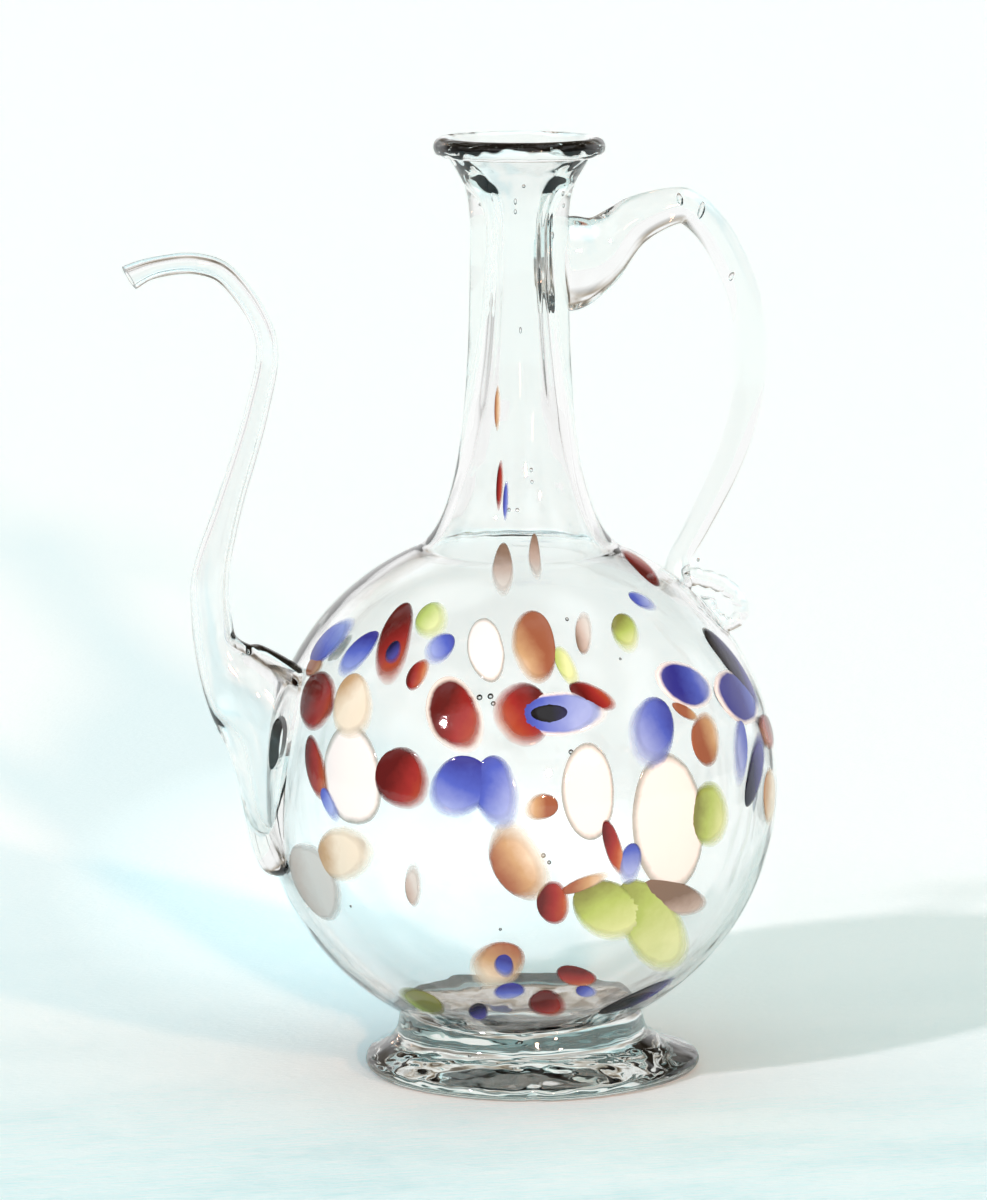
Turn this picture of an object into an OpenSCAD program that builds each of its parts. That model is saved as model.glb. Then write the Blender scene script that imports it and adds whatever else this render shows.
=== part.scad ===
// A free-blown glass jug: a round body with a tall flared neck, a spread foot, a thin hollow
// spout in an S curve, a pulled solid handle with a curled end, and spots of coloured glass
// melted onto its skin. Millimetres, Z up. The origin is the middle of the foot's flat
// underside, below the body's own axis. The spout points to -X and the handle to +X.

/* [What to draw] */
// The piece to draw

/* [Round body] */
// Outer radius of the round body
globe_r = 66.2; // [58:0.1:74]
// Height of the round body's lowest point above the table
globe_lift = 7.8; // [6:0.1:12]
// Wall of the round body
globe_wall = 2.8; // [1.8:0.1:4]

/* [Neck and lip] */
// Outer radius at which the round body turns up into the neck
shoulder_r = 27; // [23:0.5:32]
// Outer radius of the neck at its narrowest
neck_r = 12.5; // [11:0.1:16]
// Radius of the neck's bore: the neck is drawn from thick glass
bore_r = 5.8; // [5:0.1:9.4]
// Height of the narrowest place of the neck
neck_z = 214; // [190:1:222]
// Outer radius of the rolled lip
lip_r = 21.8; // [19:0.1:28]
// Height of the top of the lip
lip_z = 239.4; // [234:0.2:258]
// Thickness of the rolled lip
lip_t = 5; // [4:0.1:6.5]

/* [Foot] */
// Radius of the foot's spread flange
foot_r = 43.4; // [38:0.2:52]
// How far the hand-made flange sits off the body's axis, towards the handle
foot_shift = 3.1; // [0:0.1:5]
// Thickness of the flange at its edge
foot_edge = 3.6; // [2.4:0.1:6]
// Radius of the foot's stem, below the body
stem_r = 31.6; // [26:0.1:36]
// Height of the stem's top
stem_z = 15; // [13:0.5:18]
// Width of the lap where the ends of the flange's gather meet
lap_w = 3; // [1:0.1:4]
// Where the lap lies, turned from the handle
lap_turn = -105; // [-180:1:180]

/* [Spout] */
// Height of the spout's crest above the middle of the round body
spout_rise = 135.5; // [118:0.5:150]
// How far the spout's tip reaches past the side of the round body
spout_reach = 34.8; // [26:0.2:48]
// How far the low bulge of the spout stands out from the side of the round body
spout_bulge = 14.6; // [12:0.2:20]
// Outer width of the spout at its crest
spout_w = 5.4; // [4.8:0.1:8]
// Outer width of the cut and flared tip
spout_tip_w = 6.7; // [5.6:0.1:9]
// Height of the spout's funnel where it joins the round body
funnel_h = 53; // [46:1:58]
// Width of the funnel where it joins the round body
funnel_w = 26; // [20:0.5:32]
// Wall of the spout's tube
spout_wall = 1.3; // [0.9:0.1:1.6]
// Wall of the funnel
funnel_wall = 2.6; // [1.6:0.1:3.4]
// Glass left over the top of the funnel's hollow, where the gather was folded on
funnel_top = 5.6; // [2.6:0.2:8]
// Length of the solid tail drawn down below the funnel's hollow
tail_h = 11; // [6:0.5:14]
// Diameter of the hole that lets the jug pour into the spout
pour_d = 13; // [8:0.5:15]
// Height of that hole above the middle of the round body
pour_z = 13; // [8:0.5:16]

/* [Handle] */
// Height of the handle's crown, on its centre line
crown_z = 220.7; // [210:0.5:232]
// Height of the middle of the pad on the neck
pad_z = 207; // [195:1:212]
// Height of the pad on the neck
pad_h = 24; // [18:0.5:28]
// Width of the pad round the neck
pad_w = 16; // [12:0.5:20]
// How far the handle's centre line stands out from the axis
handle_reach = 61.8; // [54:0.2:74]
// Thickness of the handle at its crown
crown_t = 9.8; // [8:0.1:12]
// Thickness of the handle where it lands on the shoulder
land_t = 6; // [4.5:0.1:8]
// How much wider than thick the handle is
handle_oval = 1.15; // [0.9:0.05:1.5]
// Angle above the round body's middle at which the handle lands
land_angle = 51; // [44:0.5:56]
// Thickness of the curled end
curl_t = 4.2; // [3.2:0.1:5]
// Half the length of the loop in the curled end
curl_r = 5.8; // [4.8:0.1:8]

/* [Spots of colour] */
// How far the spots stand proud of the skin
spot_t = 0.6; // [0.3:0.05:1.2]
// How uneven the outline of a spot is, as a share of its size
spot_wave = 0.07; // [0:0.01:0.15]
// Size of a spot on the far side, as a share of the large near spot that it lies behind
far_size = 0.55; // [0.4:0.05:0.7]

/* [Hidden] */

// Height of the round body's middle above the table
globe_z = globe_r + globe_lift;
// Angles round the roll of the lip: where the neck runs into it, and where the mouth leaves it
lip_from = -115;
lip_to = 165;
// Where the eye stands that the jug's best side faces, from the middle of the round body
eye = [-435, -1516, 290];
// A near spot at least this wide, and above this angle, hides a smaller one on the far side
hides_from = 10;
hides_above = -40;

$fn = 48;
spot_sides = 12;
loft_sides = 18;
steps = 2;

glass = [0.86, 0.94, 0.94, 0.45];
red = [0.55, 0.08, 0.03];
amber = [0.72, 0.38, 0.16];
blue = [0.20, 0.30, 0.75];
navy = [0.04, 0.06, 0.30];
white = [0.93, 0.90, 0.84];
green = [0.68, 0.78, 0.22];
grey = [0.52, 0.48, 0.45];

// Points along an arc of radius r about [cx, cz], from angle a to angle b in n steps
function arc(cx, cz, r, a, b, n) =
    [for (i = [0 : n]) let (t = a + (b - a) * i / n) [cx + r * cos(t), cz + r * sin(t)]];

// Points along a cubic curve from p to s, pulled towards q and then r, without its first point
function curve(p, q, r, s, n) =
    [for (i = [1 : n]) let (t = i / n, u = 1 - t)
        u * u * u * p + 3 * u * u * t * q + 3 * u * t * t * r + t * t * t * s];

// The value a share t of the way from a to b
function lerp(a, b, t) = a + (b - a) * t;

// A smooth value between b and c, led by their neighbours a and d
function between(a, b, c, d, t) =
    b + 0.5 * t * ((c - a) + t * ((2 * a - 5 * b + 4 * c - d) + t * (3 * b - a - 3 * c + d)));

// Stations with n smooth steps from each to the next
function eased(s, n) = concat(
    [for (i = [0 : len(s) - 2], k = [0 : n - 1])
        between(s[max(i - 1, 0)], s[i], s[i + 1], s[min(i + 2, len(s) - 1)], k / n)],
    [s[len(s) - 1]]);

// A station is [x, z, angle of its section, size along that angle, size across in Y]
function section(s, n) =
    [for (i = [0 : n - 1]) let (a = 360 * i / n, p = s[3] / 2 * cos(a))
        [s[0] + p * cos(s[2]), s[4] / 2 * sin(a), s[1] + p * sin(s[2])]];

// A station moved in from its two ends by low and high, and from its sides by side
function inset(s, low, high, side) =
    let (shift = (low - high) / 2)
    [s[0] + shift * cos(s[2]), s[1] + shift * sin(s[2]), s[2], s[3] - low - high, s[4] - 2 * side];

// A closed skin through oval sections, one at each station
module loft(stations, n = loft_sides) {
    m = len(stations);
    points = [for (s = stations) each section(s, n)];
    sides = [for (j = [0 : m - 2], i = [0 : n - 1])
        let (a = j * n + i, b = j * n + (i + 1) % n) each [[a, b, b + n], [a, b + n, a + n]]];
    start = [for (i = [1 : n - 2]) [0, i + 1, i]];
    last = (m - 1) * n;
    end = [for (i = [1 : n - 2]) [last, last + i, last + i + 1]];
    polyhedron(points = points, faces = concat(sides, start, end));
}

// The outside of the body from its lowest point to the top of its lip, grown outwards by g
function outside(g = 0) =
    let (
        r = globe_r + g,
        turn = acos((shoulder_r + g) / r),
        leave = [shoulder_r + g, globe_z + r * sin(turn)],
        lip = lip_t / 2
    )
    concat(
        arc(0, globe_z, r, -90, turn, 22),
        curve(leave, leave + 12 * [-sin(turn), cos(turn)],
              [neck_r + g, neck_z - 49], [neck_r + g, neck_z], 9),
        curve([neck_r + g, neck_z], [neck_r + g, neck_z + 12], [neck_r + 1 + g, lip_z - 12],
              [lip_r - lip, lip_z - lip] + (lip + g) * [cos(lip_from), sin(lip_from)], 5)
    );

// The inside of the body from the lip down to the lowest point
function inside() =
    let (
        r = globe_r - globe_wall,
        turn = acos((shoulder_r - 3) / r),
        leave = [shoulder_r - 3, globe_z + r * sin(turn)],
        mouth = [lip_r - lip_t - 0.4, lip_z - lip_t / 2 + 0.6]
    )
    concat(
        curve(mouth, [lip_r - lip_t - 1.6, lip_z - 7], [bore_r, lip_z - 9], [bore_r, neck_z + 2], 5),
        [[bore_r, neck_z]],
        curve([bore_r, neck_z], [bore_r, neck_z - 52], leave + 13 * [-sin(turn), cos(turn)], leave, 8),
        [for (p = arc(0, globe_z, r, turn, -90, 20)) if (p[0] < leave[0] || p[1] < leave[1]) p]
    );

// The rolled lip, from its underside round to the mouth
function lip_roll() =
    arc(lip_r - lip_t / 2, lip_z - lip_t / 2, lip_t / 2, lip_from + 15, lip_to, 9);

// What the skin of the body fills, without its hollow
module body_block(g = 0) {
    rotate_extrude() polygon(concat(outside(g), [[0, outside(g)[len(outside(g)) - 1][1]]]));
}

// The blown body, neck and lip are one wall, opened low on one side where the spout joins
module body() {
    color(glass)
    difference() {
        rotate_extrude() polygon(concat(outside(), lip_roll(), inside()));
        translate([-globe_r, 0, globe_z + pour_z])
            rotate([0, 90, 0]) cylinder(h = 5 * globe_wall, d = pour_d, center = true, $fn = 32);
    }
}

// The foot is one solid gather: a stem under the body, spread into a flange off the axis
module foot() {
    edge = foot_edge / 2;
    round = 70;
    stem = concat([[0, 0], [stem_r, 0]],
        curve([stem_r, 0], [stem_r + 1, stem_z / 2], [stem_r, stem_z - 4], [stem_r - 1.2, stem_z], 5),
        [[0, stem_z]]);
    flange = concat([[0, 0]],
        arc(foot_r - edge, edge, edge, -90, round, 6),
        curve([foot_r - edge, foot_edge], [foot_r - 5, foot_edge + 1.6],
              [stem_r + 3, 8], [stem_r - 2, 10], 5),
        [[0, 10]]);
    color(glass)
    difference() {
        union() {
            rotate_extrude() polygon(stem);
            translate([foot_shift, 0, 0]) rotate_extrude() polygon(flange);
        }
        body_block();
        rotate([0, 0, lap_turn]) translate([foot_r + 0.2 * lap_w, 0, foot_edge / 2])
            rotate([0, -35, 0]) cylinder(h = 6 * foot_edge, d = lap_w, center = true, $fn = 24);
    }
}

// Stations of the spout, from its open root inside the body's wall to its tip
function spout_stations() =
    let (
        side = -globe_r,
        top = globe_z + spout_rise,
        low = globe_z + 0.42 * spout_rise,
        span = top - low,
        bulge = side - spout_bulge
    )
    [
        [side + 12.6, globe_z + 3, 260, funnel_h - 6, funnel_w - 2],
        [side + 2.6, globe_z + 7.5, 260, funnel_h, funnel_w],
        [side - 4.8, globe_z + 22.9, 256, 0.6 * funnel_h, funnel_w - 4.5],
        [side - 9.5, globe_z + 29.8, 242, 0.39 * funnel_h, funnel_w - 9],
        [bulge + 1.6, globe_z + 37.5, 217, 12.4, 13],
        [bulge + 0.3, globe_z + 45, 187, 10.2, 10.8],
        [bulge, low, 179, 9.4, 9.4],
        [bulge + 4.6, low + 0.21 * span, 158, 7, 7],
        [side - 2.4, low + 0.52 * span, 159, 6, 6],
        [side + 0.2, low + 0.75 * span, 184, spout_w, spout_w],
        [side - 8.6, top - 4.4, 233, spout_w, spout_w],
        [side - 17.6, top, 262, spout_w, spout_w],
        [side - spout_reach + 6.4, top - 0.7, 279, spout_w, spout_w],
        [side - spout_reach, top - 3, 300, spout_tip_w, spout_tip_w]
    ];

// Stations of the spout's hollow: it starts above the solid tail and runs out at the tip
function hollow_stations() =
    let (
        s = spout_stations(),
        n = len(s),
        tube = spout_wall,
        bell = funnel_wall,
        tip = s[n - 1],
        ahead = tip[2] - 90
    )
    concat(
        [for (i = [0 : n - 1])
            let (
                near = max(0, 1 - i / 3),
                w = tube + (bell - tube) * min(1, max(0, 2 - i / 3))
            )
            inset(s[i], lerp(w, funnel_top, near), w + tail_h * near, w)],
        [inset([tip[0] + 2 * cos(ahead), tip[1] + 2 * sin(ahead), tip[2], tip[3], tip[4]],
               tube, tube, tube)]
    );

// The spout is a thin drawn tube that opens into a flattened funnel, with a solid tail
module spout() {
    color(glass)
    difference() {
        loft(eased(spout_stations(), steps));
        loft(eased(hollow_stations(), steps), loft_sides - 4);
        body_block();
    }
}

// Stations of the handle, from its pad on the neck over its crown and down to the shoulder
function handle_stations() =
    let (
        r = handle_reach,
        land = (globe_r + 1) * [cos(land_angle), sin(land_angle)] + [0, globe_z],
        drop = pad_z - land[1],
        w = handle_oval
    )
    [
        [neck_r - 3, pad_z, 90, pad_h, pad_w],
        [neck_r + 2.4, pad_z, 90, pad_h, pad_w],
        [neck_r + 6.8, pad_z + 0.8, 92, pad_h - 2.6, pad_w - 1.5],
        [neck_r + 11.8, pad_z + 4.2, 98, pad_h - 5.6, pad_w - 3.4],
        [0.5 * r, lerp(pad_z, crown_z, 0.75), 101, 12.8, 12.2],
        [0.65 * r, crown_z, 91, crown_t, crown_t * w],
        [0.74 * r, crown_z - 0.8, 71, crown_t - 0.6, (crown_t - 0.6) * w],
        [0.86 * r, crown_z - 8.6, 40, crown_t - 1.1, (crown_t - 1.1) * w],
        [0.97 * r, crown_z - 23, 19, crown_t - 1.6, (crown_t - 1.6) * w],
        [r, land[1] + 0.69 * drop, 2, crown_t - 1.8, (crown_t - 1.8) * w],
        [0.975 * r, land[1] + 0.5 * drop, -11, 7.7, 7.7 * w],
        [lerp(r, land[0], 0.34), land[1] + 0.33 * drop, -22, 7, 7 * w],
        [lerp(r, land[0], 0.73), land[1] + 0.155 * drop, -27, land_t + 0.3, (land_t + 0.3) * w],
        [land[0] + 0.6, land[1] + 4, -23, land_t, land_t * w + 0.6],
        [land[0], land[1] - 1.5, -12, land_t + 2, land_t * w + 2.4],
        [land[0] - 1, land[1] - 5, -8, land_t + 2, land_t * w + 2.4]
    ];

// Stations of the curled end: over the top, round and back under to the skin
function curl_stations() =
    let (
        land = globe_r * [cos(land_angle), sin(land_angle)] + [0, globe_z],
        mid = land + [13.9, -8.2],
        k = curl_r / 5.8,
        t = curl_t
    )
    [
        [land[0] + 1.5, land[1] + 0.2, 75, t + 0.6, t + 1.6],
        [mid[0] - 6 * k, mid[1] + 7.4 * k, 66, t + 0.2, t + 1],
        [mid[0] + 0.4 * k, mid[1] + 4.6 * k, 45, t - 0.2, t + 0.4],
        [mid[0] + 4.2 * k, mid[1] - 1 * k, -15, t - 0.8, t - 0.4],
        [mid[0] + 1.2 * k, mid[1] - 4.9 * k, -85, t - 1, t - 0.8],
        [mid[0] - 3.2 * k, mid[1] - 2.4 * k, -150, t - 0.8, t - 0.6],
        [mid[0] - 5 * k, mid[1] + 2.4 * k, -190, t - 0.8, t - 0.4]
    ];

// The handle is one solid trail: pressed on the neck and the shoulder, its end curled back
module handle() {
    color(glass)
    difference() {
        union() {
            loft(eased(handle_stations(), steps));
            loft(eased(curl_stations(), steps), 12);
        }
        body_block();
    }
}

// An uneven oval, its long way down the page and its wave set by its place. Its size is given
// in degrees, as seen from the middle of the round body
module blob(long, wide, place) {
    reach = globe_r * PI / 360;
    polygon([for (i = [0 : spot_sides - 1])
        let (
            a = 360 * i / spot_sides,
            k = 1 + spot_wave * (sin(2 * a + 3 * place) + 0.4 * cos(3 * a + place))
        )
        [k * reach * long * cos(a), k * reach * wide * sin(a)]]);
}

// A straight cutter through the skin: [turn from +X, angle above the middle, long, wide, lean]
module spot_cutter(s) {
    translate([0, 0, globe_z]) rotate([0, 0, s[0]]) rotate([0, 90 - s[1], 0])
        translate([0, 0, 0.7 * globe_r])
            linear_extrude(height = 0.6 * globe_r) rotate(-s[4]) blob(s[2], s[3], s[0]);
}

// A streak on the neck: [turn from +X, share of the way up from the round body, long, wide]
module streak_cutter(s) {
    translate([0, 0, lerp(globe_z + globe_r, neck_z, s[1])]) rotate([0, 0, s[0]]) rotate([0, 90, 0])
        translate([0, 0, 0.4 * neck_r]) linear_extrude(height = 4 * neck_r) blob(s[2], s[3], s[0]);
}

// The thin layer over the skin in which every spot lies
module skin() {
    difference() {
        body_block(spot_t);
        body_block();
    }
}

// Each spot on the side in view, in degrees: [turn from +X, angle above the middle, long, wide, lean]
navy_near = [
    [-142.5, 37.5, 7, 4, -10], [-99, 25, 10, 5.5, -90], [-35, 30, 24.5, 8, -25], [-41, 7.5, 20, 7, 40],
    [-120, -50.5, 8.5, 4.5, 20], [-63.5, -48, 18.5, 8, 55]
];
blue_near = [
    [-170.5, 37.5, 14.5, 10, 25], [-155, 36, 13.5, 7, 20], [-129, 39.5, 8.5, 6.5, 30],
    [-151.5, 2.5, 10, 3.5, -40], [-119, 9, 14, 13, 80], [-111, 8, 15.5, 10, -5],
    [-96.5, 25, 20, 10.5, -90], [-59, 50.5, 7, 5, -50], [-60.5, 29, 16, 11, -80],
    [-74.5, 19.5, 15.5, 12, 15], [-40.5, 23.5, 21, 12, -80], [-47.5, 12, 16, 6, 20],
    [-81.5, -8.5, 9, 6, 0], [-110, -33, 7.5, 5, 5], [-109, -41.5, 7, 6, 75], [-86, -42.5, 6, 4, -55]
];
red_near = [
    [-144, 40, 23, 8, -15], [-133, 33, 8, 4.5, 20], [-163, 24, 16, 11.5, -65],
    [-157, 9.5, 16.5, 6, -35], [-121.5, 24.5, 18, 12, -20], [-132.5, 10, 14, 12.5, -5],
    [-105.5, 25, 13.5, 13, 5], [-88, 28.5, 10.5, 5.5, -60], [-35.5, 60.5, 17.5, 6.5, 40],
    [-28, 13.5, 15, 7.5, -80], [-85.5, -4.5, 12.5, 4, -20], [-98.5, -16.5, 10, 7.5, -5],
    [-90.5, -37, 10, 6, -60], [-97, -47, 11.5, 8.5, -20]
];
amber_near = [
    [-171, 31, 7.5, 5.5, 80], [-149.5, 24, 17, 10.5, -30], [-102, 41, 17.5, 10, 0],
    [-59, 16.5, 12, 9, 5], [-63.5, 23, 7.5, 3, -60], [-32, -0.5, 14.5, 10, -20], [-101.5, 5, 7, 6, 80],
    [-106, -7, 18.5, 12.5, -20], [-91.5, -12, 10.5, 3.5, 70], [-147.5, -8, 19.5, 11.5, 70],
    [-112, -33.5, 15, 12, 40]
];
green_near = [
    [-134.5, 46.5, 11.5, 7.5, -20], [-73, 43, 10.5, 7, 15], [-93.5, 35.5, 10, 4.5, -15],
    [-60, 0, 14.5, 12.5, -35], [-84.5, -19.5, 19.5, 14, -60], [-70.5, -26.5, 34, 13.5, -45],
    [-140, -48.5, 12, 10.5, 50]
];
grey_near = [
    [-114, 63, 17, 4.8, -5], [-97.5, 66.5, 13, 3, 5], [-86.5, 44, 11, 4, 15],
    [-67.5, -18, 20.5, 7.5, -70], [-160.5, -16.5, 21, 17.5, 40], [-130, -13, 11.5, 4, 10]
];
white_near = [
    [-146, 9.5, 24, 15, -20], [-115.5, 40, 16, 8, -10], [-71.5, -0.5, 29.5, 19.5, -15],
    [-91, 8, 19.5, 12.5, 0]
];

// Streaks drawn up the neck: [turn from +X, share of the way up it, long, wide]
red_streaks = [[-123, 0.17, 11, 1.6]];
blue_streaks = [[-117, 0.12, 8.5, 1.3]];
amber_streaks = [[-129, 0.43, 10.5, 1.4]];

// The colours in the order of their melting on, the last one first: it lies over the rest
near_side = [navy_near, blue_near, red_near, amber_near, green_near, grey_near, white_near];
streaks = [[], blue_streaks, red_streaks, amber_streaks, [], [], []];

// The place on the far side that the eye sees straight behind a near spot: [turn, angle]
function behind(s) =
    let (
        p = globe_r * [cos(s[1]) * cos(s[0]), cos(s[1]) * sin(s[0]), sin(s[1])],
        ray = (p - eye) / norm(p - eye),
        q = p - 2 * (p * ray) * ray
    )
    [atan2(q[1], q[0]), asin(q[2] / globe_r)];

// Behind each large near spot lies a smaller one of another colour, so the glass between the
// near spots looks clear from the front
function far_side(rank) =
    [for (s = near_side[(rank + 2) % len(near_side)])
        if (s[3] >= hides_from && s[1] > hides_above)
        [behind(s)[0], behind(s)[1], far_size * s[2], far_size * s[3], -s[4]]];

// The cutters of all spots of one colour
module cutters_of(rank) {
    for (s = concat(near_side[rank], far_side(rank))) spot_cutter(s);
    for (s = streaks[rank]) streak_cutter(s);
}

// The spots of one colour: the skin inside its cutters, less what later colours cover
module spots(rank) {
    difference() {
        intersection() {
            skin();
            union() cutters_of(rank);
        }
        if (rank > 0) for (over = [0 : rank - 1]) cutters_of(over);
    }
}

module navy_spots() color(navy) spots(0);
module blue_spots() color(blue) spots(1);
module red_spots() color(red) spots(2);
module amber_spots() color(amber) spots(3);
module green_spots() color(green) spots(4);
module grey_spots() color(grey) spots(5);
module white_spots() color(white) spots(6);

body();
foot();
spout();
handle();
red_spots();
amber_spots();
blue_spots();
navy_spots();
white_spots();
green_spots();
grey_spots();
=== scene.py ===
# %% [markdown]
# A free-blown glass jug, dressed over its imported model.
# The real jug is made of five kinds of hot glass gathers: a blown body with its neck and rolled
# lip, a spread foot, a thin drawn spout, a solid pulled handle, and scraps of coloured glass
# that were melted onto the skin. Each is made here as one mesh, in metres, in the same frame as
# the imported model, and stands for the solids of the same name. Sizes are written in millimetres.

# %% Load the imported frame
import math

import bmesh
import bpy
from mathutils import Matrix, Vector
from mathutils.bvhtree import BVHTree


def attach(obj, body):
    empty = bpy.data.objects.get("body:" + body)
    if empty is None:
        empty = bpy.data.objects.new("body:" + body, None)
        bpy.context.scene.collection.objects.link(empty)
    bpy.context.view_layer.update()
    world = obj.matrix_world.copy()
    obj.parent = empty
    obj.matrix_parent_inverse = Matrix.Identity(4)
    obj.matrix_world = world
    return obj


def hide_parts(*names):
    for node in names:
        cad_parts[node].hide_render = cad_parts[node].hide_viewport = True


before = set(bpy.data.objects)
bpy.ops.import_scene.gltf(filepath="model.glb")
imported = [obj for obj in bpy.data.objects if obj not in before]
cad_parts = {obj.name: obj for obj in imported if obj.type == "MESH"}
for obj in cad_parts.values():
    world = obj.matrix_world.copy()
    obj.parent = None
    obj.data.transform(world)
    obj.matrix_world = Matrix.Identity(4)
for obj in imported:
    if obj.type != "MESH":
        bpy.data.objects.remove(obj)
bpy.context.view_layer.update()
scene = bpy.context.scene
MM = 0.001

# %% [markdown]
# The camera stands about 1.6 m away and a little above the lip, turned 16 degrees, so that the
# spout points left and slightly towards it. A long lens keeps the round body round. These
# numbers were found by laying the solids' outline over the photograph.

# %% Camera
CAMERA_TURN = math.radians(-16)
CAMERA_DROP = math.radians(8.755)
CAMERA_AWAY = 1.577
CAMERA_ASIDE = -0.0065
CAMERA_HEIGHT = 0.364
LENS = 187.6
to_right = Vector((math.cos(CAMERA_TURN), math.sin(CAMERA_TURN), 0))
to_camera = Vector((math.sin(CAMERA_TURN), -math.cos(CAMERA_TURN), 0))

camera = bpy.data.objects.new("camera", bpy.data.cameras.new("camera"))
camera.data.lens = LENS
camera.data.clip_end = 60
camera.location = (CAMERA_AWAY * to_camera + CAMERA_ASIDE * to_right
                   + Vector((0, 0, CAMERA_HEIGHT)))
camera.rotation_euler = (math.pi / 2 - CAMERA_DROP, 0, CAMERA_TURN)
scene.collection.objects.link(camera)
scene.camera = camera
scene.view_settings.view_transform = "Standard"
print("camera at", [round(v, 3) for v in camera.location])

# %% [markdown]
# Materials are small node graphs. These helpers make a material with its main shader, add a node
# with its settings, do a sum, spread a noise pattern over a piece, turn a value into a colour and
# put a bump on a shader. A pattern is given by its scale, its detail, its roughness and how it
# is squeezed along the three axes.

# %% Helpers for materials
def new_material(name, **settings):
    material = bpy.data.materials.new(name)
    material.use_nodes = True
    tree = material.node_tree
    shader = tree.nodes["Principled BSDF"]
    for socket, value in settings.items():
        shader.inputs[socket.replace("_", " ")].default_value = value
    return material, tree, shader


def add(tree, kind, **settings):
    node = tree.nodes.new(kind)
    for name, value in settings.items():
        if name in node.inputs:
            node.inputs[name].default_value = value
        else:
            setattr(node, name, value)
    return node


def sums(tree, kind, a, b, c=None):
    node = add(tree, "ShaderNodeMath", operation=kind)
    for socket, value in zip(node.inputs, (a, b, c)):
        if isinstance(value, (int, float)):
            socket.default_value = value
        elif value:
            tree.links.new(value, socket)
    return node.outputs[0]


def noise(tree, scale, detail, roughness, stretch=None):
    place = add(tree, "ShaderNodeTexCoord").outputs["Object"]
    if stretch:
        mapping = add(tree, "ShaderNodeMapping")
        mapping.inputs["Scale"].default_value = stretch
        tree.links.new(place, mapping.inputs["Vector"])
        place = mapping.outputs["Vector"]
    node = add(tree, "ShaderNodeTexNoise", Scale=scale, Detail=detail, Roughness=roughness)
    tree.links.new(place, node.inputs["Vector"])
    return node.outputs["Fac"]


def ramp(tree, source, stops):
    node = add(tree, "ShaderNodeValToRGB")
    line = node.color_ramp
    while len(line.elements) < len(stops):
        line.elements.new(1)
    for element, (place, colour) in zip(line.elements, stops):
        element.position = place
        element.color = (*colour, 1)
    tree.links.new(source, node.inputs["Fac"])
    return node.outputs["Color"]


def put_bump(tree, shader, height, strength, distance):
    bump = add(tree, "ShaderNodeBump", Strength=strength, Distance=distance)
    tree.links.new(height, bump.inputs["Height"])
    tree.links.new(bump.outputs["Normal"], shader.inputs["Normal"])


BLACK, WHITE = (0, 0, 0), (1, 1, 1)
print("ends of a plain ramp:", BLACK, WHITE)

# %% [markdown]
# Clear glass shows what stands round it, so the surroundings matter more than the lamps. Light
# Path tells which rays look at them: from the camera, off a glossy face or through the glass.
# Those rays may see a whiter cloth and another room than the rays that carry light. A ray that
# left a matt surface carries light, so it doesn't count as looking, even through the glass.
# The second helper tells how far a point or a direction lies one way, here away from the camera.

# %% Which rays look
def looking(tree):
    path = add(tree, "ShaderNodeLightPath").outputs
    either = sums(tree, "MAXIMUM", path["Is Camera Ray"], path["Is Glossy Ray"])
    either = sums(tree, "MAXIMUM", either, path["Is Transmission Ray"])
    return sums(tree, "MULTIPLY", either, sums(tree, "LESS_THAN", path["Diffuse Depth"], 0.5))


def how_far(tree, source, way):
    node = add(tree, "ShaderNodeVectorMath", operation="DOT_PRODUCT")
    tree.links.new(source, node.inputs[0])
    node.inputs[1].default_value = way
    return node.outputs["Value"]


print("away from the camera is", [round(v, 2) for v in -to_camera])

# %% [markdown]
# The jug stands on a pale cloth. Its colour wavers a little, as a bleached cloth's does, and a
# fine bump gives it a nap. Behind the jug it turns to plain white, which makes a backdrop
# needless. A round glass body gathers light, and a pool of that light is painted into the
# cloth's colour behind it. This painted pool and a small gain all over are only for the rays
# that look.

# %% Cloth
CLOTH = [(0.36, (0.60, 0.78, 0.81)), (0.50, (0.74, 0.89, 0.91)), (0.66, (0.86, 0.95, 0.96))]
FAR_CLOTH = (0.97, 0.985, 0.985)
FOLDS = (9, 5, 0.6, (1, 3, 1))
THREADS = (120, 4, 0.7, (1, 6, 1))
NAP = (420, 4, 0.6, (1, 3, 1))
FADE_START = 0.2
FADE = [(0.06, BLACK), (0.26, (0.6, 0.6, 0.6)), (0.50, WHITE)]
# Painted pool of light: the place, size and strength of a brighter patch painted into the cloth
# behind the body.
PAINTED_POOL_PLACE = -0.26 * to_camera - 0.03 * to_right
PAINTED_POOL_SIZE = (0.11, 0.24, 1)
PAINTED_POOL_GAIN = 0.6
LOOK_GAIN = 0.24


def cloth_gain_and_painted_pool(tree, place):
    # The painted pool of light is a soft spot behind the body where the cloth's colour is raised.
    painted_pool_map = add(tree, "ShaderNodeMapping", vector_type="TEXTURE")
    painted_pool_map.inputs["Location"].default_value = PAINTED_POOL_PLACE
    painted_pool_map.inputs["Rotation"].default_value = (0, 0, CAMERA_TURN)
    painted_pool_map.inputs["Scale"].default_value = PAINTED_POOL_SIZE
    tree.links.new(place, painted_pool_map.inputs["Vector"])
    painted_pool_glow = add(tree, "ShaderNodeTexGradient", gradient_type="SPHERICAL")
    tree.links.new(painted_pool_map.outputs["Vector"], painted_pool_glow.inputs["Vector"])
    gain = sums(tree, "MULTIPLY_ADD", painted_pool_glow.outputs["Fac"], PAINTED_POOL_GAIN, LOOK_GAIN)
    return sums(tree, "MULTIPLY_ADD", looking(tree), gain, 1.0)


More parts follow.
